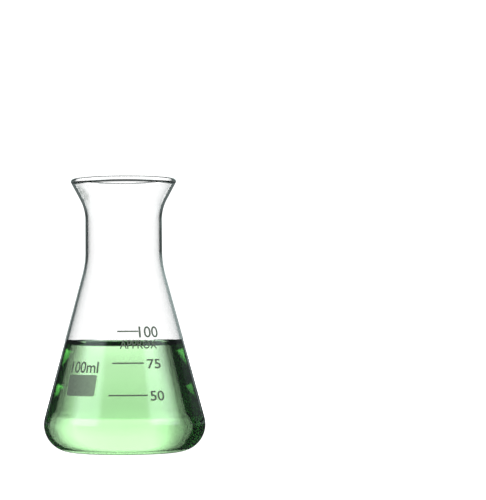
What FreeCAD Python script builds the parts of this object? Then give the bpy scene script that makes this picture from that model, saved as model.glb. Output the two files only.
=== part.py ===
# Wide mouth conical flask for 100 ml, with a green liquid standing in it.
#
# The flask is one piece of blown borosilicate glass: a wall of even thickness
# that runs from a lifted base round a wide heel, up a cone, through a soft
# shoulder into a straight neck, and out into a flared mouth with a thick,
# fire polished lip. The liquid has a level surface and climbs a little at the
# wall. The scale lines and the writing patch are thin fields of fired enamel.
#
# Frame: +Z is the flask's axis, pointing up. The origin is on the axis, in the
# plane that the flask stands on. The scale faces -Y.

import FreeCAD, Part

import math
import os
from enum import IntEnum, auto

import Sketcher

# Driving dimensions in millimetres and degrees. Heights are above the plane
# that the flask stands on, unless the name says what they are added to.
# Azimuths are measured from the front, -Y, and grow towards +X.
SIZES = {
    "body_radius": 31.8,
    "heel_radius": 10.8,
    "foot_width": 2.0,
    "base_lift": 1.2,
    "floor_thickness": 2.2,
    "wall": 1.0,
    "body_height": 74.2,
    "shoulder_radius": 37.0,
    "neck_radius": 15.1,
    "neck_length": 21.2,
    "flare_bend_radius": 16.0,
    "flare_width": 5.65,
    "flare_rise": 11.7,
    "lip_radius": 0.9,
    "liquid_level": 41.4,
    "liquid_gap": 0.05,
    "meniscus_rise": 2.5,
    "meniscus_radius": 2.9,
    "enamel_thickness": 0.06,
    "scale_line_width": 0.55,
    "line_100_height": 47.35,
    "line_100_start": -7.0,
    "line_100_span": 21.0,
    "line_75_height": 35.25,
    "line_75_start": -10.3,
    "line_75_span": 27.0,
    "line_50_height": 23.1,
    "line_50_start": -12.1,
    "line_50_span": 30.0,
    "patch_height": 26.8,
    "patch_width": 8.0,
    "patch_length": 13.2,
    "patch_left_of_front": 37.0,
    "patch_corner_radius": 0.8,
}

SCALE_LINES = (100, 75, 50)
ON_AXIS = "0"
QUARTER_TURN, HALF_TURN, FULL_TURN = 90.0, 180.0, 360.0


class Point(IntEnum):
    """Points of a sketch line or arc, as a constraint numbers them."""
    START = auto()
    END = auto()
    CENTRE = auto()


class Axis(IntEnum):
    """Axes of a sketch, as a constraint numbers them."""
    HORIZONTAL = -1
    VERTICAL = -2


START, END, CENTRE = Point
HORIZONTAL_AXIS, VERTICAL_AXIS = Axis

doc = FreeCAD.newDocument("wide_mouth_flask")


def make_sheet():
    """Put the driving dimensions in a spreadsheet, one alias a row."""
    sheet = doc.addObject("Spreadsheet::Sheet", "Sizes")
    for row, (alias, value) in enumerate(SIZES.items(), start=1):
        sheet.set(f"A{row}", alias)
        sheet.set(f"B{row}", str(value))
        sheet.setAlias(f"B{row}", alias)
    doc.recompute()
    return sheet


sizes = make_sheet()


def line(start, end):
    """A straight stretch of an outline."""
    return Part.LineSegment(FreeCAD.Vector(*start, 0), FreeCAD.Vector(*end, 0))


def arc(centre, radius, start_degrees, end_degrees):
    """A round stretch of an outline, always anticlockwise."""
    circle = Part.Circle(FreeCAD.Vector(*centre, 0), FreeCAD.Vector(0, 0, 1), radius)
    return Part.ArcOfCircle(circle, math.radians(start_degrees), math.radians(end_degrees))


def polar(centre, radius, degrees):
    """The point of a circle that lies in a direction from its centre."""
    turn = math.radians(degrees)
    return centre[0] + radius * math.cos(turn), centre[1] + radius * math.sin(turn)


def tangent_length(radius, turn_degrees):
    """How far before its corner an arc of this radius leaves a straight line."""
    return radius * math.tan(math.radians(turn_degrees / 2))


def lean(run, rise, radius):
    """Angle from the vertical of a line from a point to the far side of a circle, in degrees."""
    return math.degrees(math.atan2(run, rise) + math.asin(radius / math.hypot(run, rise)))


def new_body(label):
    """A body whose label is the name of its node."""
    body = doc.addObject("PartDesign::Body", label)
    body.Label = label
    return body


def new_section(body, name):
    """An upright sketch through the axis: radius to the right, height upwards."""
    sketch = body.newObject("Sketcher::SketchObject", name)
    upright = [plane for plane in body.Origin.OriginFeatures if plane.Role == "XZ_Plane"]
    sketch.AttachmentSupport = (upright[0], [""])
    sketch.MapMode = "FlatFace"
    return sketch


def draw(sketch, outline):
    """Add the stretches of an outline and return the number of each under its name."""
    return {name: sketch.addGeometry(geometry, False) for name, geometry in outline.items()}


def tie(sketch, kind, *where):
    """Add a constraint that has no size."""
    sketch.addConstraint(Sketcher.Constraint(kind, *where))


def smooth(sketch, part, joints):
    """Make each pair of stretches meet with one tangent."""
    for first, first_end, second, second_end in joints:
        tie(sketch, "Tangent", part[first], first_end, part[second], second_end)


def dimension(sketch, name, kind, where, expression):
    """Add a named dimension and bind it to the sheet."""
    value = float(sketch.evalExpression(expression))
    if kind == "Angle":
        value = math.radians(value)
    number = sketch.addConstraint(Sketcher.Constraint(kind, *where, value))
    sketch.renameConstraint(number, name)
    sketch.setExpression(f"Constraints.{name}", expression)


def turn(body, sketch, kind="Revolution", span=None):
    """Turn a section about the axis, to add or to cut, all the way or through a span of the sheet."""
    turned = body.newObject(f"PartDesign::{kind}", f"{sketch.Name}_turned")
    turned.Profile = sketch
    turned.ReferenceAxis = (sketch, ["V_Axis"])
    turned.Angle = FULL_TURN
    if span:
        turned.setExpression("Angle", span)


def floor_dome(inner_heel, heel, floor_top):
    """Radius of the floor's dome and the direction in which it meets the inner heel.

    The dome is centred on the axis and touches the inner heel's circle from outside.
    """
    drop = floor_top - heel[1]
    radius = (heel[0] ** 2 + drop ** 2 - inner_heel ** 2) / (2 * (inner_heel - drop))
    return radius, math.degrees(math.atan2(heel[1] - floor_top + radius, heel[0]))


def make_flask():
    """The blown glass: one closed section of the wall, turned about the axis."""
    body = new_body("flask")
    sketch = new_section(body, "flask_section")
    wall = sizes.wall
    neck = sizes.neck_radius
    flare_corner = sizes.body_height + sizes.neck_length
    lip = (neck + sizes.flare_width - sizes.lip_radius, flare_corner + sizes.flare_rise - sizes.lip_radius)
    heel = (sizes.body_radius - sizes.heel_radius, sizes.heel_radius)
    cone = lean(heel[0] - neck, sizes.body_height - heel[1], sizes.heel_radius)
    flare = lean(lip[0] - neck, lip[1] - flare_corner, sizes.lip_radius)
    shoulder = (neck + sizes.shoulder_radius,
                sizes.body_height + tangent_length(sizes.shoulder_radius, cone))
    bend = (neck + sizes.flare_bend_radius,
            flare_corner - tangent_length(sizes.flare_bend_radius, flare))

    # The solver starts from this outline and settles the tangents exactly.
    inner_heel = sizes.heel_radius - wall
    floor_top = (0.0, sizes.base_lift + sizes.floor_thickness)
    dome, dome_edge = floor_dome(inner_heel, heel, floor_top[1])
    foot = (heel[0] - sizes.foot_width, 0.0)
    base = (foot[0] ** 2 + sizes.base_lift ** 2) / (2 * sizes.base_lift)
    base_edge = math.degrees(math.acos(foot[0] / base))
    flare_turn = HALF_TURN - flare
    lip_turn = FULL_TURN - flare - math.degrees(math.acos(1 - wall / sizes.lip_radius))
    cone_turn = HALF_TURN + cone
    part = draw(sketch, {
        "foot": line(foot, (heel[0], 0.0)),
        "heel": arc(heel, sizes.heel_radius, -QUARTER_TURN, cone),
        "cone": line(polar(heel, sizes.heel_radius, cone), polar(shoulder, sizes.shoulder_radius, cone_turn)),
        "shoulder": arc(shoulder, sizes.shoulder_radius, HALF_TURN, cone_turn),
        "neck": line((neck, shoulder[1]), (neck, bend[1])),
        "bend": arc(bend, sizes.flare_bend_radius, flare_turn, HALF_TURN),
        "flare": line(polar(bend, sizes.flare_bend_radius, flare_turn), polar(lip, sizes.lip_radius, -flare)),
        "lip": arc(lip, sizes.lip_radius, -flare, lip_turn),
        "inner_flare": line(polar(lip, sizes.lip_radius, lip_turn),
                            polar(bend, sizes.flare_bend_radius + wall, flare_turn)),
        "inner_bend": arc(bend, sizes.flare_bend_radius + wall, flare_turn, HALF_TURN),
        "inner_neck": line((neck - wall, bend[1]), (neck - wall, shoulder[1])),
        "inner_shoulder": arc(shoulder, sizes.shoulder_radius + wall, HALF_TURN, cone_turn),
        "inner_cone": line(polar(shoulder, sizes.shoulder_radius + wall, cone_turn),
                           polar(heel, inner_heel, cone)),
        "inner_heel": arc(heel, inner_heel, dome_edge - HALF_TURN, cone),
        "floor": arc((0.0, floor_top[1] - dome), dome, dome_edge, QUARTER_TURN),
        "axis": line(floor_top, (0.0, sizes.base_lift)),
        "base": arc((0.0, sizes.base_lift - base), base, base_edge, QUARTER_TURN),
    })

    tie(sketch, "Horizontal", part["foot"])
    tie(sketch, "Vertical", part["neck"])
    tie(sketch, "Vertical", part["inner_neck"])
    tie(sketch, "PointOnObject", part["foot"], START, HORIZONTAL_AXIS)
    for domed in ("floor", "base"):
        tie(sketch, "PointOnObject", part[domed], CENTRE, VERTICAL_AXIS)
        tie(sketch, "PointOnObject", part[domed], END, VERTICAL_AXIS)
    tie(sketch, "Coincident", part["floor"], END, part["axis"], START)
    tie(sketch, "Coincident", part["axis"], END, part["base"], END)
    tie(sketch, "Coincident", part["base"], START, part["foot"], START)
    # The lip is a bead that stands inwards of an even wall.
    tie(sketch, "Parallel", part["inner_flare"], part["flare"])
    tie(sketch, "Coincident", part["inner_flare"], START, part["lip"], END)
    for concentric in ("heel", "shoulder", "bend"):
        tie(sketch, "Coincident", part[f"inner_{concentric}"], CENTRE, part[concentric], CENTRE)
    smooth(sketch, part, [
        ("foot", END, "heel", START),
        ("heel", END, "cone", START),
        ("cone", END, "shoulder", END),
        ("shoulder", START, "neck", START),
        ("neck", END, "bend", END),
        ("bend", START, "flare", START),
        ("flare", END, "lip", START),
        ("inner_flare", END, "inner_bend", START),
        ("inner_bend", END, "inner_neck", START),
        ("inner_neck", END, "inner_shoulder", START),
        ("inner_shoulder", END, "inner_cone", START),
        ("inner_cone", END, "inner_heel", END),
        ("inner_heel", START, "floor", START),
    ])

    # The corners where the straight cone and the straight flare would meet the neck's line.
    corners = [
        ("body_height", "cone", sizes.body_height, "Sizes.body_height"),
        ("flare_height", "flare", flare_corner, "Sizes.body_height + Sizes.neck_length"),
    ]
    for name, slanted, height, expression in corners:
        corner = sketch.addGeometry(Part.Point(FreeCAD.Vector(neck, height, 0)), True)
        tie(sketch, "PointOnObject", corner, START, part["neck"])
        tie(sketch, "PointOnObject", corner, START, part[slanted])
        dimension(sketch, name, "DistanceY", (corner, START), expression)

    for name, kind, where, expression in [
        ("heel_radius", "Radius", ("heel",), "Sizes.heel_radius"),
        ("heel_place", "DistanceX", ("heel", CENTRE), "Sizes.body_radius - Sizes.heel_radius"),
        ("foot_place", "DistanceX", ("foot", START),
         "Sizes.body_radius - Sizes.heel_radius - Sizes.foot_width"),
        ("base_lift", "DistanceY", ("base", END), "Sizes.base_lift"),
        ("floor_height", "DistanceY", ("floor", END), "Sizes.base_lift + Sizes.floor_thickness"),
        ("inner_heel_radius", "Radius", ("inner_heel",), "Sizes.heel_radius - Sizes.wall"),
        ("shoulder_radius", "Radius", ("shoulder",), "Sizes.shoulder_radius"),
        ("neck_radius", "DistanceX", ("neck", START), "Sizes.neck_radius"),
        ("bore_radius", "DistanceX", ("inner_neck", START), "Sizes.neck_radius - Sizes.wall"),
        ("bend_radius", "Radius", ("bend",), "Sizes.flare_bend_radius"),
        ("lip_radius", "Radius", ("lip",), "Sizes.lip_radius"),
        ("lip_place", "DistanceX", ("lip", CENTRE),
         "Sizes.neck_radius + Sizes.flare_width - Sizes.lip_radius"),
        ("lip_height", "DistanceY", ("lip", CENTRE),
         "Sizes.body_height + Sizes.neck_length + Sizes.flare_rise - Sizes.lip_radius"),
    ]:
        dimension(sketch, name, kind, (part[where[0]], *where[1:]), expression)

    # The cone's angle is only read here; the liquid and the enamel follow it.
    cone_angle = sketch.addConstraint(
        Sketcher.Constraint("Angle", VERTICAL_AXIS, START, part["cone"], START, math.radians(cone)))
    sketch.setDriving(cone_angle, False)
    sketch.renameConstraint(cone_angle, "cone_angle")
    doc.recompute()
    turn(body, sketch)
    return body


def make_liquid():
    """The contents: the inside of the flask up to the level, less a hair's gap at the glass."""
    body = new_body("liquid")
    sketch = new_section(body, "liquid_section")
    heel = (sizes.body_radius - sizes.heel_radius, sizes.heel_radius)
    cone = lean(heel[0] - sizes.neck_radius, sizes.body_height - heel[1], sizes.heel_radius)
    side = sizes.heel_radius - sizes.wall - sizes.liquid_gap
    floor_top = (0.0, sizes.base_lift + sizes.floor_thickness + sizes.liquid_gap)
    dome, dome_edge = floor_dome(side, heel, floor_top[1])
    side_end = polar(heel, side, cone)
    contact_height = sizes.liquid_level + sizes.meniscus_rise
    contact = (side_end[0] - (contact_height - side_end[1]) * math.tan(math.radians(cone)), contact_height)
    climb = math.degrees(math.acos(1 - sizes.meniscus_rise / sizes.meniscus_radius))
    curl = (contact[0] - sizes.meniscus_radius * math.sin(math.radians(climb)),
            sizes.liquid_level + sizes.meniscus_radius)

    part = draw(sketch, {
        "heel": arc(heel, side, dome_edge - HALF_TURN, cone),
        "cone": line(side_end, contact),
        "meniscus": arc(curl, sizes.meniscus_radius, -QUARTER_TURN, climb - QUARTER_TURN),
        "surface": line((curl[0], sizes.liquid_level), (0.0, sizes.liquid_level)),
        "axis": line((0.0, sizes.liquid_level), floor_top),
        "floor": arc((0.0, floor_top[1] - dome), dome, dome_edge, QUARTER_TURN),
    })

    tie(sketch, "Horizontal", part["surface"])
    tie(sketch, "Vertical", part["axis"])
    tie(sketch, "PointOnObject", part["floor"], CENTRE, VERTICAL_AXIS)
    tie(sketch, "PointOnObject", part["floor"], END, VERTICAL_AXIS)
    tie(sketch, "Coincident", part["cone"], END, part["meniscus"], END)
    tie(sketch, "Coincident", part["surface"], END, part["axis"], START)
    tie(sketch, "Coincident", part["axis"], END, part["floor"], END)
    smooth(sketch, part, [
        ("floor", START, "heel", START),
        ("heel", END, "cone", START),
        ("meniscus", START, "surface", START),
    ])
    for name, kind, where, expression in [
        ("heel_place", "DistanceX", ("heel", CENTRE), "Sizes.body_radius - Sizes.heel_radius"),
        ("heel_height", "DistanceY", ("heel", CENTRE), "Sizes.heel_radius"),
        ("heel_radius", "Radius", ("heel",), "Sizes.heel_radius - Sizes.wall - Sizes.liquid_gap"),
        ("floor_height", "DistanceY", ("floor", END),
         "Sizes.base_lift + Sizes.floor_thickness + Sizes.liquid_gap"),
        ("contact_height", "DistanceY", ("cone", END), "Sizes.liquid_level + Sizes.meniscus_rise"),
        ("meniscus_radius", "Radius", ("meniscus",), "Sizes.meniscus_radius"),
        ("liquid_level", "DistanceY", ("surface", START), "Sizes.liquid_level"),
    ]:
        dimension(sketch, name, kind, (part[where[0]], *where[1:]), expression)
    dimension(sketch, "cone_angle", "Angle", (VERTICAL_AXIS, START, part["cone"], START),
              "flask_section.Constraints.cone_angle")
    doc.recompute()
    turn(body, sketch)
    return body


def beside_glass(height, distance):
    """The corner of a section at a height and a distance out from the glass cone."""
    slope = "tan(flask_section.Constraints.cone_angle)"
    return f"Sizes.neck_radius + (Sizes.body_height - ({height})) * {slope} + {distance}", height


def draw_corners(sketch, corners):
    """A straight sided section; each corner is its radius and its height, as expressions."""
    values = [(float(sketch.evalExpression(radius)), float(sketch.evalExpression(height)))
              for radius, height in corners]
    sides = [sketch.addGeometry(line(here, values[(number + 1) % len(values)]), False)
             for number, here in enumerate(values)]
    for number, (radius, height) in enumerate(corners):
        tie(sketch, "Coincident", sides[number - 1], END, sides[number], START)
        dimension(sketch, f"height_{number}", "DistanceY", (sides[number], START), height)
        if radius == ON_AXIS:
            tie(sketch, "PointOnObject", sides[number], START, VERTICAL_AXIS)
        else:
            dimension(sketch, f"radius_{number}", "DistanceX", (sides[number], START), radius)


def face_front(body, azimuth, drawn_at):
    """Turn a body about the axis from where it was drawn to its azimuth, in degrees."""
    body.Placement = FreeCAD.Placement(
        FreeCAD.Vector(0, 0, 0), FreeCAD.Rotation(FreeCAD.Vector(0, 0, 1), azimuth - drawn_at))


def make_scale_line(volume):
    """A level line of enamel on the cone, part of the way round."""
    body = new_body(f"scale_line_{volume}")
    sketch = new_section(body, f"scale_line_{volume}_section")
    low = f"Sizes.line_{volume}_height - Sizes.scale_line_width / 2"
    high = f"Sizes.line_{volume}_height + Sizes.scale_line_width / 2"
    draw_corners(sketch, [
        beside_glass(low, "0"),
        beside_glass(low, "Sizes.enamel_thickness"),
        beside_glass(high, "Sizes.enamel_thickness"),
        beside_glass(high, "0"),
    ])
    doc.recompute()
    turn(body, sketch, span=f"Sizes.line_{volume}_span")
    face_front(body, sizes.get(f"line_{volume}_start"), drawn_at=QUARTER_TURN)
    return body


def make_patch():
    """The writing patch: a block with rounded corners, cut down to a skin on the cone."""
    body = new_body("writing_patch")
    face = new_section(body, "patch_face")
    radius = sizes.patch_corner_radius
    right, left = sizes.patch_length / 2, -sizes.patch_length / 2
    low = sizes.patch_height - sizes.patch_width / 2
    high = sizes.patch_height + sizes.patch_width / 2
    part = draw(face, {
        "bottom": line((left + radius, low), (right - radius, low)),
        "corner_1": arc((right - radius, low + radius), radius, -QUARTER_TURN, 0.0),
        "right": line((right, low + radius), (right, high - radius)),
        "corner_2": arc((right - radius, high - radius), radius, 0.0, QUARTER_TURN),
        "top": line((right - radius, high), (left + radius, high)),
        "corner_3": arc((left + radius, high - radius), radius, QUARTER_TURN, HALF_TURN),
        "left": line((left, high - radius), (left, low + radius)),
        "corner_4": arc((left + radius, low + radius), radius, HALF_TURN, HALF_TURN + QUARTER_TURN),
    })
    sides = list(part)
    smooth(face, part, [(side, END, sides[(number + 1) % len(sides)], START)
                        for number, side in enumerate(sides)])
    tie(face, "Horizontal", part["top"])
    tie(face, "Vertical", part["left"])
    tie(face, "Vertical", part["right"])
    for corner in ("corner_2", "corner_3", "corner_4"):
        tie(face, "Equal", part["corner_1"], part[corner])
    tie(face, "Symmetric", part["bottom"], START, part["bottom"], END, VERTICAL_AXIS)
    for name, kind, where, expression in [
        ("corner_radius", "Radius", ("corner_1",), "Sizes.patch_corner_radius"),
        ("half_length", "DistanceX", ("right", START), "Sizes.patch_length / 2"),
        ("low_edge", "DistanceY", ("bottom", START), "Sizes.patch_height - Sizes.patch_width / 2"),
        ("high_edge", "DistanceY", ("top", START), "Sizes.patch_height + Sizes.patch_width / 2"),
    ]:
        dimension(face, name, kind, (part[where[0]], *where[1:]), expression)
    block = body.newObject("PartDesign::Pad", "patch_block")
    block.Profile = face
    block.setExpression("Length", "Sizes.body_radius + Sizes.enamel_thickness")

    # Both cuts reach half the patch's width past its edges, above and below.
    below = "Sizes.patch_height - Sizes.patch_width"
    above = "Sizes.patch_height + Sizes.patch_width"
    cuts = {
        "patch_glass_side": [
            (ON_AXIS, below), beside_glass(below, "0"), beside_glass(above, "0"), (ON_AXIS, above),
        ],
        "patch_outside": [
            beside_glass(below, "Sizes.enamel_thickness"), beside_glass(below, "Sizes.body_radius"),
            beside_glass(above, "Sizes.body_radius"), beside_glass(above, "Sizes.enamel_thickness"),
        ],
    }
    for name, corners in cuts.items():
        sketch = new_section(body, name)
        draw_corners(sketch, corners)
        doc.recompute()
        turn(body, sketch, kind="Groove")
    face_front(body, -sizes.patch_left_of_front, drawn_at=0.0)
    return body


flask = make_flask()
liquid = make_liquid()
scale_lines = [make_scale_line(volume) for volume in SCALE_LINES]
patch = make_patch()
doc.recompute()


def check(bodies):
    """Stop before anything is written if an object failed or a shape is not sound."""
    for item in doc.Objects:
        if "Invalid" in item.State or "Error" in item.State:
            raise RuntimeError(f"{item.Name} failed: {item.State}")
        if item.TypeId == "Sketcher::SketchObject" and not item.FullyConstrained:
            raise RuntimeError(f"{item.Name} is not fully constrained")
    for body in bodies:
        shape = body.Shape
        if shape.isNull() or not shape.isValid() or len(shape.Solids) != 1:
            raise RuntimeError(f"{body.Label} has no single sound solid")


def export(bodies):
    """Write each body to the file that its label names."""
    os.makedirs("parts", exist_ok=True)
    for body in bodies:
        body.Shape.exportStep(f"parts/{body.Label}.step")
        print(f"{body.Label}: {body.Shape.Volume:.2f} mm3")


pieces = [flask, liquid, *scale_lines, patch]
check(pieces)
export(pieces)
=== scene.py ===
import math

import bmesh
import bpy
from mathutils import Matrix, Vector


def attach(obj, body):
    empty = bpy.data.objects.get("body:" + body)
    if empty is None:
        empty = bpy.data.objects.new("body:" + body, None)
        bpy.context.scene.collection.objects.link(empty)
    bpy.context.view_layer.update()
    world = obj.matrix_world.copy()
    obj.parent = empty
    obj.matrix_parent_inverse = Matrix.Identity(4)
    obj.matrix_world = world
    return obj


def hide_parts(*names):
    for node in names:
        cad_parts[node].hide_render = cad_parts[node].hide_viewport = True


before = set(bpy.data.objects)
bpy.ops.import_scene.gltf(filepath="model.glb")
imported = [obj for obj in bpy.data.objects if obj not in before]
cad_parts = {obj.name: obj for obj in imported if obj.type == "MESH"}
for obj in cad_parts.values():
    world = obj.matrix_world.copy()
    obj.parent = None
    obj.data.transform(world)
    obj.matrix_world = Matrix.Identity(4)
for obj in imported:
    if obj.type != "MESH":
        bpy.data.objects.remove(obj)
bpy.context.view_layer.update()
MM = 0.001


# The flask.
# One piece of borosilicate glass, blown into a mould: lifted base, wide heel, cone, neck and flared mouth.
# The lip is melted round in a flame, which leaves a bead that stands inwards of the wall.
BODY_RADIUS = 31.8 * MM
HEEL_RADIUS = 10.8 * MM
FOOT_WIDTH = 2.0 * MM
BASE_LIFT = 1.2 * MM
FLOOR_THICKNESS = 2.2 * MM
WALL = 1.0 * MM
BODY_HEIGHT = 74.2 * MM
SHOULDER_RADIUS = 37.0 * MM
NECK_RADIUS = 15.1 * MM
NECK_LENGTH = 21.2 * MM
FLARE_BEND_RADIUS = 16.0 * MM
FLARE_WIDTH = 5.65 * MM
FLARE_RISE = 11.7 * MM
LIP_RADIUS = 0.9 * MM
TURN_STEPS = 256


class Outline:
    """A line of edges in the XZ plane, drawn on from its tip by straight runs and by bends."""

    def __init__(self, x, z):
        self.mesh = bmesh.new()
        self.tip = self.mesh.verts.new((x, 0.0, z))

    def run(self, x, z, steps=1):
        """Go straight to a point."""
        step = (Vector((x, 0.0, z)) - self.tip.co) / steps
        for _ in range(steps):
            grown = bmesh.ops.extrude_vert_indiv(self.mesh, verts=[self.tip])
            self.tip = grown["verts"][0]
            self.tip.co += step
        return self

    def bend(self, x, z, degrees, steps):
        """Turn about a centre; degrees are anticlockwise with X to the right and Z up."""
        spun = bmesh.ops.spin(
            self.mesh, geom=[self.tip], cent=(x, 0.0, z), axis=(0.0, 1.0, 0.0),
            angle=-math.radians(degrees), steps=steps)
        self.tip = next(part for part in spun["geom_last"] if isinstance(part, bmesh.types.BMVert))
        return self

    def turned(self, name):
        """Turn the outline all the way round Z and return it as a smooth object."""
        bmesh.ops.spin(
            self.mesh, geom=self.mesh.verts[:] + self.mesh.edges[:], cent=(0.0, 0.0, 0.0),
            axis=(0.0, 0.0, 1.0), angle=math.tau, steps=TURN_STEPS, use_merge=True)
        bmesh.ops.remove_doubles(self.mesh, verts=self.mesh.verts[:], dist=1e-7)
        bmesh.ops.recalc_face_normals(self.mesh, faces=self.mesh.faces[:])
        for face in self.mesh.faces:
            face.smooth = True
        piece = made(name, self.mesh)
        piece.data.set_sharp_from_angle(angle=math.radians(30.0))
        return piece


def made(name, mesh):
    """Turn a bmesh into an object of the scene."""
    data = bpy.data.meshes.new(name)
    mesh.to_mesh(data)
    mesh.free()
    piece = bpy.data.objects.new(name, data)
    bpy.context.scene.collection.objects.link(piece)
    return piece


def lean(run, rise, radius):
    """Angle from the vertical of a line that passes a point and touches a circle beyond it."""
    return math.degrees(math.atan2(run, rise) + math.asin(radius / math.hypot(run, rise)))


def beside(centre, radius, degrees):
    """The point of a circle that lies in a direction from its centre."""
    return (centre[0] + radius * math.cos(math.radians(degrees)),
            centre[1] + radius * math.sin(math.radians(degrees)))


heel = (BODY_RADIUS - HEEL_RADIUS, HEEL_RADIUS)
cone_lean = lean(heel[0] - NECK_RADIUS, BODY_HEIGHT - heel[1], HEEL_RADIUS)
flare_corner = BODY_HEIGHT + NECK_LENGTH
lip = (NECK_RADIUS + FLARE_WIDTH - LIP_RADIUS, flare_corner + FLARE_RISE - LIP_RADIUS)
flare_lean = lean(lip[0] - NECK_RADIUS, lip[1] - flare_corner, LIP_RADIUS)
shoulder = (NECK_RADIUS + SHOULDER_RADIUS,
            BODY_HEIGHT + SHOULDER_RADIUS * math.tan(math.radians(cone_lean / 2)))
flare_bend = (NECK_RADIUS + FLARE_BEND_RADIUS,
              flare_corner - FLARE_BEND_RADIUS * math.tan(math.radians(flare_lean / 2)))
foot_inside = heel[0] - FOOT_WIDTH
base_radius = (foot_inside ** 2 + BASE_LIFT ** 2) / (2 * BASE_LIFT)
base_turn = math.degrees(math.asin(foot_inside / base_radius))


def dome(side, floor_height):
    """Radius of the domed floor that touches the inner heel, and where it meets it."""
    drop = heel[1] - floor_height
    radius = (heel[0] ** 2 + drop ** 2 - side ** 2) / (2 * (side - drop))
    return radius, math.degrees(math.atan2(radius + drop, heel[0]))


floor_height = BASE_LIFT + FLOOR_THICKNESS
inner_heel = HEEL_RADIUS - WALL
floor_radius, floor_edge = dome(inner_heel, floor_height)

glass_outline = Outline(0.0, BASE_LIFT)
glass_outline.bend(0.0, BASE_LIFT - base_radius, -base_turn, 20)
glass_outline.run(heel[0], 0.0, 2)
glass_outline.bend(*heel, 90.0 + cone_lean, 36)
glass_outline.run(*beside(shoulder, SHOULDER_RADIUS, 180.0 + cone_lean), 12)
glass_outline.bend(*shoulder, -cone_lean, 16)
glass_outline.run(NECK_RADIUS, flare_bend[1], 4)
glass_outline.bend(*flare_bend, -flare_lean, 16)
glass_outline.run(*beside(lip, LIP_RADIUS, -flare_lean), 4)
glass_outline.bend(*lip, 360.0 - math.degrees(math.acos(1 - WALL / LIP_RADIUS)), 32)
glass_outline.run(*beside(flare_bend, FLARE_BEND_RADIUS + WALL, 180.0 - flare_lean), 4)
glass_outline.bend(*flare_bend, flare_lean, 16)
glass_outline.run(NECK_RADIUS - WALL, shoulder[1], 4)
glass_outline.bend(*shoulder, cone_lean, 16)
glass_outline.run(*beside(heel, inner_heel, cone_lean), 12)
glass_outline.bend(*heel, floor_edge - 180.0 - cone_lean, 36)
glass_outline.bend(0.0, floor_height - floor_radius, 90.0 - floor_edge, 20)
flask = glass_outline.turned("flask_glass")


class Value:
    """A shader socket that can be used in a Python expression."""

    def __init__(self, nodes, socket):
        self.nodes = nodes
        self.socket = socket

    def math(self, operation, first, second):
        return self.nodes.add("ShaderNodeMath", {"operation": operation}, [first, second])

    def __add__(self, other):
        return self.math("ADD", self, other)

    def __sub__(self, other):
        return self.math("SUBTRACT", self, other)

    def __rsub__(self, other):
        return self.math("SUBTRACT", other, self)

    def __mul__(self, other):
        return self.math("MULTIPLY", self, other)

    def __truediv__(self, other):
        return self.math("DIVIDE", self, other)

    def __gt__(self, other):
        return self.math("GREATER_THAN", self, other)

    def __lt__(self, other):
        return self.math("LESS_THAN", self, other)

    def __abs__(self):
        return self.math("ABSOLUTE", self, 0.0)

    __radd__ = __add__
    __rmul__ = __mul__

    def at_least(self, other):
        return self.math("MAXIMUM", self, other)

    def ramp(self, low, high):
        """Rise from 0 to 1 between two values."""
        return self.nodes.add("ShaderNodeMapRange", {}, [self, low, high, 0.0, 1.0])

    def between(self, start, full, fading, end):
        """Rise from 0 to 1 between the first two values and fall back between the last two."""
        return self.ramp(start, full) * (1.0 - self.ramp(fading, end))

    def mix(self, start, end):
        """Go from one colour to another with this value."""
        return self.nodes.add("ShaderNodeMix", {"data_type": "RGBA"}, {0: self, 6: start, 7: end}, 2)


class Nodes:
    """The node tree of a material or a world."""

    def __init__(self, owner, output="ShaderNodeOutputMaterial"):
        owner.use_nodes = True
        self.owner = owner
        self.tree = owner.node_tree
        self.tree.nodes.clear()
        self.output = self.tree.nodes.new(output)

    def add(self, kind, settings=None, inputs=(), output=0):
        """Add a node: its settings first, then the values or links of its sockets."""
        node = self.tree.nodes.new(kind)
        for key, value in (settings or {}).items():
            setattr(node, key, value)
        pairs = inputs.items() if isinstance(inputs, dict) else enumerate(inputs)
        for key, value in pairs:
            if isinstance(value, Value):
                self.tree.links.new(value.socket, node.inputs[key])
            else:
                node.inputs[key].default_value = value
        return Value(self, node.outputs[output])

    def out(self, value, socket="Surface"):
        """Link a value to the output."""
        self.tree.links.new(value.socket, self.output.inputs[socket])
        return self.owner


def material(name):
    """A new material with nothing but its output."""
    return Nodes(bpy.data.materials.new(name))


CLEAR = (1.0, 1.0, 1.0, 1.0)
GLASS_IOR = 1.474
# LINE_TINT is painted shade: the dark of the lines and streaks painted into the clear glass.
LINE_TINT = (0.012, 0.015, 0.014, 1.0)
FOOT_LINE = 0.65
FOOT_FACING = (-0.9995, -0.995, -0.975, -0.94)
FOOT_LINE_TOP = 2.0 * MM
FOOT_LINE_INSIDE = 20.0 * MM
CREST_LINE = 0.9
CREST_FACING = (0.15, 0.45)
BEAD_HEIGHTS = (lip[1] - 1.3 * MM, lip[1] - 1.1 * MM, lip[1] - 0.3 * MM, lip[1] - 0.1 * MM)
WAVY_HEIGHTS = (9.0 * MM, 12.0 * MM, 17.0 * MM, 20.0 * MM)
STREAKS = 0.2
STREAKS_OFF_MIDDLE = (18.0 * MM, 23.0 * MM)
STREAKS_BOTTOM = (13.0 * MM, 14.0 * MM)
STREAKS_IN_RIPPLE = (0.50, 0.58)
RIPPLE_STRETCH = (45.0, 45.0, 620.0)
RIPPLE_DEPTH = 0.09 * MM
RIPPLE_ELSEWHERE = 0.04
# A dark reflection painted on the flare, mottled at its edge.
PAINTED_REFLECTION_TINT = (0.22, 0.26, 0.22, 1.0)
PAINTED_REFLECTION_PLACE = (-16.0 * MM, -8.2 * MM, 100.6 * MM)
PAINTED_REFLECTION_EDGE = (0.8 * MM, 4.8 * MM)
PAINTED_REFLECTION_GRAIN = 480.0
PAINTED_REFLECTION_MOTTLE = (0.36, 0.64)


def part_of(nodes, vector, axis):
    """The X, Y or Z of a vector."""
    return nodes.add("ShaderNodeSeparateXYZ", {}, [vector], axis)
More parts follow.
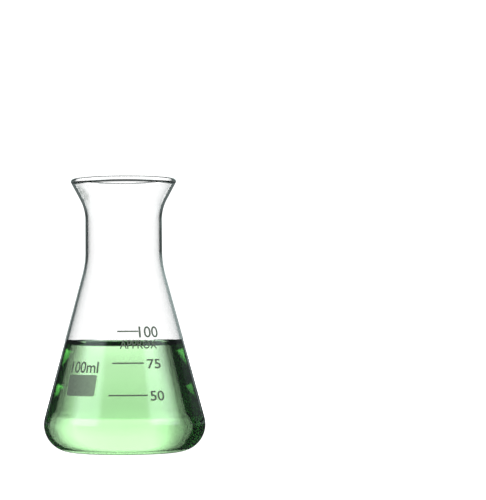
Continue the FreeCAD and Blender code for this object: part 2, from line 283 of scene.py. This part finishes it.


# Painted shade: thin dark lines painted at the foot and along the lip's crest and bead, and dark streaks
# painted over the heel, where the wall is a little wavy. The flare has a painted dark reflection.
glass = material("clear_glass")
spot = glass.add("ShaderNodeTexCoord", {}, {}, "Object")
height = part_of(glass, spot, "Z")
flat_spot = glass.add("ShaderNodeVectorMath", {"operation": "MULTIPLY"}, [spot, (1.0, 1.0, 0.0)])
off_axis = glass.add("ShaderNodeVectorMath", {"operation": "LENGTH"}, [flat_spot], "Value")
facing_up = part_of(glass, glass.add("ShaderNodeNewGeometry", {}, {}, "Normal"), "Z")
leaving = glass.add("ShaderNodeNewGeometry", {}, {}, "Backfacing")
# Painted shade: a dark line at the foot, a dark line along the lip's crest and a dark band inside its bead.
foot = FOOT_LINE * facing_up.between(*FOOT_FACING)
foot = foot * (height < FOOT_LINE_TOP) * (off_axis > FOOT_LINE_INSIDE)
crest = CREST_LINE * facing_up.ramp(*CREST_FACING) * (height > lip[1])
bead = leaving * (off_axis < lip[0]) * height.between(*BEAD_HEIGHTS)
drawn = glass.add("ShaderNodeVectorMath", {"operation": "MULTIPLY"}, [spot, RIPPLE_STRETCH])
ripple = glass.add("ShaderNodeTexNoise", {}, {"Vector": drawn, "Scale": 1.0, "Detail": 2.0}, "Fac")
off_middle = abs(part_of(glass, spot, "X"))
wavy = height.between(*WAVY_HEIGHTS)
# Painted shade: dark streaks along the ripple over the heel, away from the middle; the ripple itself is a
# real bump.
streak = STREAKS * off_middle.ramp(*STREAKS_OFF_MIDDLE) * ripple.ramp(*STREAKS_IN_RIPPLE)
streak = streak * height.ramp(*STREAKS_BOTTOM) * wavy
line = foot.at_least(crest).at_least(bead).at_least(streak)
mottle = glass.add("ShaderNodeTexNoise", {}, {"Vector": spot, "Scale": PAINTED_REFLECTION_GRAIN, "Detail": 3.0}, "Fac")
# Painted reflection: a dark mottled patch on the flare.
from_painted_reflection = glass.add("ShaderNodeVectorMath", {"operation": "DISTANCE"}, [spot, PAINTED_REFLECTION_PLACE], "Value")
painted_reflection = (1.0 - from_painted_reflection.ramp(*PAINTED_REFLECTION_EDGE)) * mottle.ramp(*PAINTED_REFLECTION_MOTTLE)
tint = painted_reflection.mix(line.mix(CLEAR, LINE_TINT), PAINTED_REFLECTION_TINT)
ripple = ripple * (RIPPLE_ELSEWHERE + (1.0 - RIPPLE_ELSEWHERE) * wavy)
waves = glass.add("ShaderNodeBump", {}, {
    "Strength": 1.0,
    "Distance": RIPPLE_DEPTH,
    "Height": ripple,
}, "Normal")
flask.data.materials.append(glass.out(glass.add("ShaderNodeBsdfPrincipled", {}, {
    "Base Color": tint,
    "Normal": waves,
    "Roughness": 0.0,
    "IOR": GLASS_IOR,
    "Transmission Weight": 1.0,
})))
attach(flask, "root")
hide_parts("flask")


# The liquid.
# A green water-like solution that wets the glass, so its surface climbs at the wall.
# It bends the light so far at its sides and at its rim that they look dark; this dark is painted shade in
# its colour, and a glint at two heights is a painted highlight.
LIQUID_LEVEL = 41.4 * MM
MENISCUS_RISE = 2.5 * MM
MENISCUS_RADIUS = 2.9 * MM
WETTED_INTO_GLASS = 0.05 * MM

side = inner_heel + WETTED_INTO_GLASS
liquid_floor_height = floor_height - WETTED_INTO_GLASS
liquid_floor_radius, liquid_floor_edge = dome(side, liquid_floor_height)
side_top = beside(heel, side, cone_lean)
contact_height = LIQUID_LEVEL + MENISCUS_RISE
contact = (side_top[0] - (contact_height - side_top[1]) * math.tan(math.radians(cone_lean)), contact_height)
climb = math.degrees(math.acos(1 - MENISCUS_RISE / MENISCUS_RADIUS))
curl = (contact[0] - MENISCUS_RADIUS * math.sin(math.radians(climb)), LIQUID_LEVEL + MENISCUS_RADIUS)

liquid_outline = Outline(0.0, liquid_floor_height)
liquid_outline.bend(0.0, liquid_floor_height - liquid_floor_radius, liquid_floor_edge - 90.0, 20)
liquid_outline.bend(*heel, 180.0 - liquid_floor_edge + cone_lean, 36)
liquid_outline.run(*contact, 12)
liquid_outline.bend(*curl, -climb, 12)
liquid_outline.run(0.0, LIQUID_LEVEL, 8)
liquid = liquid_outline.turned("liquid_green")

LIQUID_IOR = 1.333
LIQUID_COLOUR = (0.15, 0.715, 0.05, 1.0)
LIQUID_DENSITY = 20.0
# EDGE_TINT is painted shade: the dark of the liquid's sides and rim.
EDGE_TINT = (0.0001, 0.0014, 0.0001, 1.0)
MENISCUS_FACING = (0.4, 0.6)
CONE_STARTS = (11.0 * MM, 17.0 * MM)
HEEL_SHADE = 0.12
RIGHT_SHADE = 0.2
RIGHT_FACING = (0.3, 0.7)
SIDE_DARKNESS = 0.92
SIDE_EDGE = (0.30, 0.70)
SIDE_OUTER_EDGE = (0.76, 0.84)
UNDERSIDE_FACING = (-0.97, -0.88)
RIM_BOTTOM = (LIQUID_LEVEL - 0.1 * MM, LIQUID_LEVEL + 0.6 * MM)
RIM_TOP = (LIQUID_LEVEL + 1.9 * MM, LIQUID_LEVEL + 2.5 * MM)
RIM_TOP_FADE = 0.6
RIM_ENDS = (0.42, 0.50)
RIM_END_FADE = 0.7
LEVEL_FACING = (0.97, 0.999)
# Painted highlights: bright green glints at the outer edges, at two heights.
UPPER_GLINT = (33.0 * MM, 39.5 * MM, 39.5 * MM, 40.8 * MM)
LOWER_GLINT = (20.0 * MM, 26.0 * MM, 26.0 * MM, 27.2 * MM)
GLINT_TINT = (0.10, 0.95, 0.08, 1.0)
GLINT_GRAIN = 330.0
GLINT_WIDTH = 0.06
GLINT_UNEVENNESS = 0.4
GLINT_EDGE = (0.99, 1.22)

green = material("green_liquid")
turned_away = green.add("ShaderNodeLayerWeight", {}, {"Blend": 0.5}, "Facing")
towards = 1.0 - turned_away
outside = (1.0 - GLASS_IOR ** 2 * (1.0 - towards * towards)).at_least(0.0)
spot = green.add("ShaderNodeTexCoord", {}, {}, "Object")
height = part_of(green, spot, "Z")
facing = green.add("ShaderNodeNewGeometry", {}, {}, "Normal")
facing_up = part_of(green, facing, "Z")
leaving = green.add("ShaderNodeNewGeometry", {}, {}, "Backfacing")
# Painted shade of the sides: side-on surfaces darker, more so on the right and less over the heel.
side_on = 1.0 - outside / (1.0 - facing_up * facing_up)
side_on = side_on * (1.0 - facing_up.ramp(*MENISCUS_FACING))
on_cone = height.ramp(*CONE_STARTS)
facing_right = part_of(green, facing, "X").ramp(*RIGHT_FACING)
shade_at = side_on + RIGHT_SHADE * facing_right - HEEL_SHADE * (1.0 - on_cone)
# Painted shade: a dark band just above the liquid's level, fading towards its ends.
rim = height.ramp(*RIM_BOTTOM) * (1.0 - RIM_TOP_FADE * height.ramp(*RIM_TOP))
rim = rim * (1.0 - facing_up.ramp(*LEVEL_FACING)) * (1.0 - RIM_END_FADE * side_on.ramp(*RIM_ENDS))
sides = SIDE_DARKNESS * shade_at.ramp(*SIDE_EDGE) + (1.0 - SIDE_DARKNESS) * shade_at.ramp(*SIDE_OUTER_EDGE)
sides = sides * facing_up.ramp(*UNDERSIDE_FACING)
edge = sides.at_least(rim) * (1.0 - leaving)
# Painted glints: an uneven bright green strip at the outermost edge, at two heights.
uneven = green.add("ShaderNodeTexNoise", {}, {"Vector": spot, "Scale": GLINT_GRAIN, "Detail": 2.0}, "Fac")
glint = height.between(*UPPER_GLINT).at_least(height.between(*LOWER_GLINT))
glinting = (side_on + (GLINT_WIDTH + GLINT_UNEVENNESS * uneven) * glint).ramp(*GLINT_EDGE)
glint = glinting * glint.ramp(0.0, 0.1)
tint = glint.mix(EDGE_TINT, GLINT_TINT)
green.out(green.add("ShaderNodeBsdfPrincipled", {}, {
    "Base Color": edge.mix(CLEAR, tint),
    "Roughness": 0.0,
    "IOR": LIQUID_IOR,
    "Transmission Weight": 1.0,
}))
liquid.data.materials.append(green.out(green.add("ShaderNodeVolumeAbsorption", {}, {
    "Color": LIQUID_COLOUR,
    "Density": LIQUID_DENSITY,
}), "Volume"))
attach(liquid, "root")
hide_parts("liquid")


# The enamel scale, writing patch and words.
# A skin of white ceramic ink, printed through a screen and fired into the glass: matt and mottled. Its dark
# grey is painted shade of the ink with the light behind it, painted lighter towards the patch's right.
# Each line has its volume in ml beside it, and the patch has the flask's own volume above it.
SKIN = 0.06 * MM
STRIP_WIDTH = 0.4 * MM
STROKE_SWELL = 0.012
# ENAMEL_DARK and ENAMEL_LIGHT are painted shade of white ink with the light behind it.
ENAMEL_DARK = (0.052, 0.070, 0.052, 1.0)
ENAMEL_LIGHT = (0.145, 0.215, 0.140, 1.0)
ENAMEL_GRAIN = 900.0
ENAMEL_MOTTLE = (0.3, 0.7)
MOTTLE_SHARE = 0.2
PATCH_RIGHT = -9.0 * MM
PATCH_TOP = 31.0 * MM
PATCH_FADE = (-23.0 * MM, -11.5 * MM)
WORDS = (
    ("words_100", "100", 24.5, 47.1, 7.97, 4.46),
    ("words_75", "75", 26.0, 34.95, 5.7, 3.76),
    ("words_50", "50", 25.6, 22.9, 5.8, 3.9),
    ("words_approx", "APPROX", 13.6, 42.35, 14.66, 3.4),
    ("words_100ml", "100ml", -36.3, 33.7, 12.7, 4.5),
)

enamel = material("enamel")
spot = enamel.add("ShaderNodeTexCoord", {}, {}, "Object")
mottle = enamel.add("ShaderNodeTexNoise", {}, {"Vector": spot, "Scale": ENAMEL_GRAIN, "Detail": 4.0}, "Fac")
across = part_of(enamel, spot, "X")
on_patch = (across < PATCH_RIGHT) * (part_of(enamel, spot, "Z") < PATCH_TOP)
# Painted light: the patch is painted lighter towards its right; the mottle is the ink's own uneven tone.
shade = (1.0 - MOTTLE_SHARE) * on_patch * across.ramp(*PATCH_FADE)
shade = shade + MOTTLE_SHARE * mottle.ramp(*ENAMEL_MOTTLE)
grain = enamel.add("ShaderNodeBump", {}, {
    "Strength": 0.15,
    "Distance": 0.02 * MM,
    "Height": mottle,
}, "Normal")
enamel.out(enamel.add("ShaderNodeBsdfPrincipled", {}, {
    "Base Color": shade.mix(ENAMEL_DARK, ENAMEL_LIGHT),
    "Roughness": 0.6,
    "Normal": grain,
}))
for node in ("scale_line_100", "scale_line_75", "scale_line_50", "writing_patch"):
    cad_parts[node].data.materials.clear()
    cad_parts[node].data.materials.append(enamel.owner)


def printed(name, words, azimuth, height, width, tall):
    """Lay words on the cone, with their middle at an angle from the front and at a height."""
    curve = bpy.data.curves.new(name, "FONT")
    curve.body = words
    curve.extrude = 0.5
    curve.offset = STROKE_SWELL
    flat = bpy.data.objects.new(name, curve)
    bpy.context.scene.collection.objects.link(flat)
    bpy.context.view_layer.update()
    mesh = bmesh.new()
    mesh.from_mesh(bpy.data.meshes.new_from_object(flat))
    bpy.data.objects.remove(flat)
    bmesh.ops.remove_doubles(mesh, verts=mesh.verts[:], dist=1e-5)
    low = Vector([min(vert.co[axis] for vert in mesh.verts) for axis in range(3)])
    high = Vector([max(vert.co[axis] for vert in mesh.verts) for axis in range(3)])
    bmesh.ops.translate(mesh, verts=mesh.verts[:], vec=-(low + high) / 2)
    span = high - low
    bmesh.ops.scale(mesh, verts=mesh.verts[:], vec=(width * MM / span.x, tall * MM / span.y, SKIN / span.z))
    strips = math.ceil(width * MM / STRIP_WIDTH)
    for strip in range(1, strips):
        bmesh.ops.bisect_plane(
            mesh, geom=mesh.verts[:] + mesh.edges[:] + mesh.faces[:],
            plane_co=((strip / strips - 0.5) * width * MM, 0.0, 0.0), plane_no=(1.0, 0.0, 0.0))
    slope = math.radians(cone_lean)
    heel_top = beside(heel, HEEL_RADIUS, cone_lean)
    middle = heel_top[0] - (height * MM - heel_top[1]) * math.tan(slope)
    for vert in mesh.verts:
        out = vert.co.z + SKIN / 2
        angle = math.radians(azimuth) + vert.co.x / middle
        away = middle - vert.co.y * math.sin(slope) + out * math.cos(slope)
        rise = height * MM + vert.co.y * math.cos(slope) + out * math.sin(slope)
        vert.co = (away * math.sin(angle), -away * math.cos(angle), rise)
    bmesh.ops.recalc_face_normals(mesh, faces=mesh.faces[:])
    return made(name, mesh)


for row in WORDS:
    word = printed(*row)
    word.data.materials.append(enamel.owner)
    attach(word, "root")


# The floor and the light.
# A white floor and backdrop glow behind the flask, and two soft boxes stand left and right of the camera.
# The glass mirrors a dark room with pale cards behind and at the right, and a dark card stands at the left.
BACK_LIGHT = 1.25
MIRRORED_OUTSIDE = 0.045
MIRRORED_INSIDE = 0.075
MIRRORED_TINT = (0.83, 1.0, 0.98, 1.0)
MIRRORED_RIGHT = 0.08
MIRRORED_RIGHT_INSIDE = 0.25
MIRRORED_BACK = 0.8
MIRRORED_HIGH = 0.25
MIRRORED_HIGH_EDGE = (0.09, 0.17)
THROUGH_LIQUID = 0.6
THROUGH_LIQUID_HIGH = 0.3
THROUGH_LIQUID_EDGE = (0.0, 0.09)
RIGHT_CARD = (0.02, 0.08, 0.95, 1.05)
RIGHT_CARD_BOTTOM = (0.045, 0.075)
BACK_CARD_EDGE = (0.30, 0.50)
BACK_CARD_BOTTOM = (0.03, 0.06)
DARK_CARD = (0.16, 0.36, 0.55, 0.70)
DARK_CARD_LIGHT = 0.5
CEILING_LIGHT = 0.2
CEILING_EDGE = (0.5, 0.7)
SOFT_BOX_LIGHT = 1.9
SOFT_BOX = (0.60, 0.78, 1.35, 1.60)
SOFT_BOX_BOTTOM = (-0.02, 0.12)
ONCE = 0.5
SIX_TIMES = 5.5


def studio_light(nodes, kind, bright, outside, inside, boxes=0.0):
    """White light that fades for rays that have been mirrored, outside or inside the glass."""
    mirrored = nodes.add("ShaderNodeLightPath", {}, {}, "Glossy Depth") > ONCE
    in_glass = nodes.add("ShaderNodeLightPath", {}, {}, "Transmission Depth") > ONCE
    dark = in_glass * (inside - outside) + outside
    return nodes.add(kind, {"name": "light"}, {
        "Color": mirrored.mix(CLEAR, MIRRORED_TINT),
        "Strength": bright + mirrored * (dark - bright) + boxes})


def turn(nodes, across, away):
    """Angle round the flask, in radians, of what lies so far across and so far away."""
    return nodes.add("ShaderNodeMath", {"operation": "ARCTAN2"}, [across, away])


def through_liquid(nodes):
    """1 for light that has crossed six clear faces, as it does through the liquid, and not just four."""
    return nodes.add("ShaderNodeLightPath", {}, {}, "Transmission Depth") > SIX_TIMES


def past_dark_card(nodes, place):
    """The share that the dark card leaves of the light that has come through the liquid."""
    left = turn(nodes, -1.0 * part_of(nodes, place, "X"), part_of(nodes, place, "Y"))
    return 1.0 - (1.0 - DARK_CARD_LIGHT) * left.between(*DARK_CARD) * through_liquid(nodes)


world = Nodes(bpy.data.worlds.new("studio"), "ShaderNodeOutputWorld")
way = world.add("ShaderNodeTexCoord", {}, {}, "Generated")
up = part_of(world, way, "Z")
across = part_of(world, way, "X")
away = part_of(world, way, "Y")
seen = world.add("ShaderNodeLightPath", {}, {}, "Is Camera Ray")
boxes = SOFT_BOX_LIGHT * (1.0 - seen) * turn(world, abs(across), -1.0 * away).between(*SOFT_BOX)
boxes = boxes * up.ramp(*SOFT_BOX_BOTTOM)
bright = THROUGH_LIQUID + THROUGH_LIQUID_HIGH * up.ramp(*THROUGH_LIQUID_EDGE)
bright = (BACK_LIGHT + BACK_LIGHT * through_liquid(world) * bright) * past_dark_card(world, way)
bright = bright * (1.0 - (1.0 - CEILING_LIGHT) * (1.0 - seen) * up.ramp(*CEILING_EDGE))
right_card = turn(world, across, away).between(*RIGHT_CARD) * up.ramp(*RIGHT_CARD_BOTTOM)
off_back = turn(world, abs(across), away)
back_card = (1.0 - off_back.ramp(*BACK_CARD_EDGE)) * up.ramp(*BACK_CARD_BOTTOM)
outside = MIRRORED_OUTSIDE + MIRRORED_RIGHT * right_card + MIRRORED_BACK * back_card
inside = MIRRORED_INSIDE + MIRRORED_RIGHT_INSIDE * right_card
inside = inside + MIRRORED_HIGH * up.ramp(*MIRRORED_HIGH_EDGE)
bpy.context.scene.world = world.out(studio_light(
    world, "ShaderNodeBackground", bright, outside, inside, boxes))

FLOOR_HALF_WIDTH = 4.0
BRIGHTER_NEAR = 0.08
NEAR_EDGE = (0.095, 0.13)
BRIGHTER_FAR = 0.62
FAR_EDGE = (0.17, 0.26)
MIRRORED_FLOOR = 0.045
MIRRORED_FAR_FLOOR = 0.2
MIRRORED_FAR_EDGE = (0.2, 0.4)
MIRRORED_FLOOR_INSIDE = 0.12

floor_mesh = bmesh.new()
bmesh.ops.create_grid(floor_mesh, x_segments=1, y_segments=1, size=FLOOR_HALF_WIDTH)
floor = made("studio_floor", floor_mesh)
pale = material("studio_floor")
spot = pale.add("ShaderNodeTexCoord", {}, {}, "Object")
reach = pale.add("ShaderNodeVectorMath", {"operation": "LENGTH"}, [spot], "Value")
brighter = BRIGHTER_NEAR * reach.ramp(*NEAR_EDGE) + BRIGHTER_FAR * reach.ramp(*FAR_EDGE)
bright = BACK_LIGHT * (1.0 + brighter) * past_dark_card(pale, spot)
outside = MIRRORED_FLOOR + MIRRORED_FAR_FLOOR * reach.ramp(*MIRRORED_FAR_EDGE)
floor.data.materials.append(pale.out(studio_light(
    pale, "ShaderNodeEmission", bright, outside, MIRRORED_FLOOR_INSIDE)))


# The camera, where the photograph was taken from.
# The photograph shows the flask left of its middle without any slant, so the lens is shifted and not turned.
PICTURE_HEIGHT = 500
FLASK_LEFT_OF_MIDDLE = 118.85
HORIZON_BELOW_MIDDLE = 69.2
CAMERA_DISTANCE = 746.9 * MM
CAMERA_HEIGHT = 52.0 * MM
CAMERA_ROLL = 0.3

camera_data = bpy.data.cameras.new("camera")
camera_data.sensor_width = 36.0
camera_data.lens = 136.6
camera_data.shift_x = FLASK_LEFT_OF_MIDDLE / PICTURE_HEIGHT
camera_data.shift_y = HORIZON_BELOW_MIDDLE / PICTURE_HEIGHT
camera = bpy.data.objects.new("camera", camera_data)
bpy.context.scene.collection.objects.link(camera)
camera.location = (0.0, -CAMERA_DISTANCE, CAMERA_HEIGHT)
camera.rotation_euler = (math.radians(90.0), math.radians(CAMERA_ROLL), 0.0)
bpy.context.scene.camera = camera
bpy.context.scene.view_settings.view_transform = "Standard"
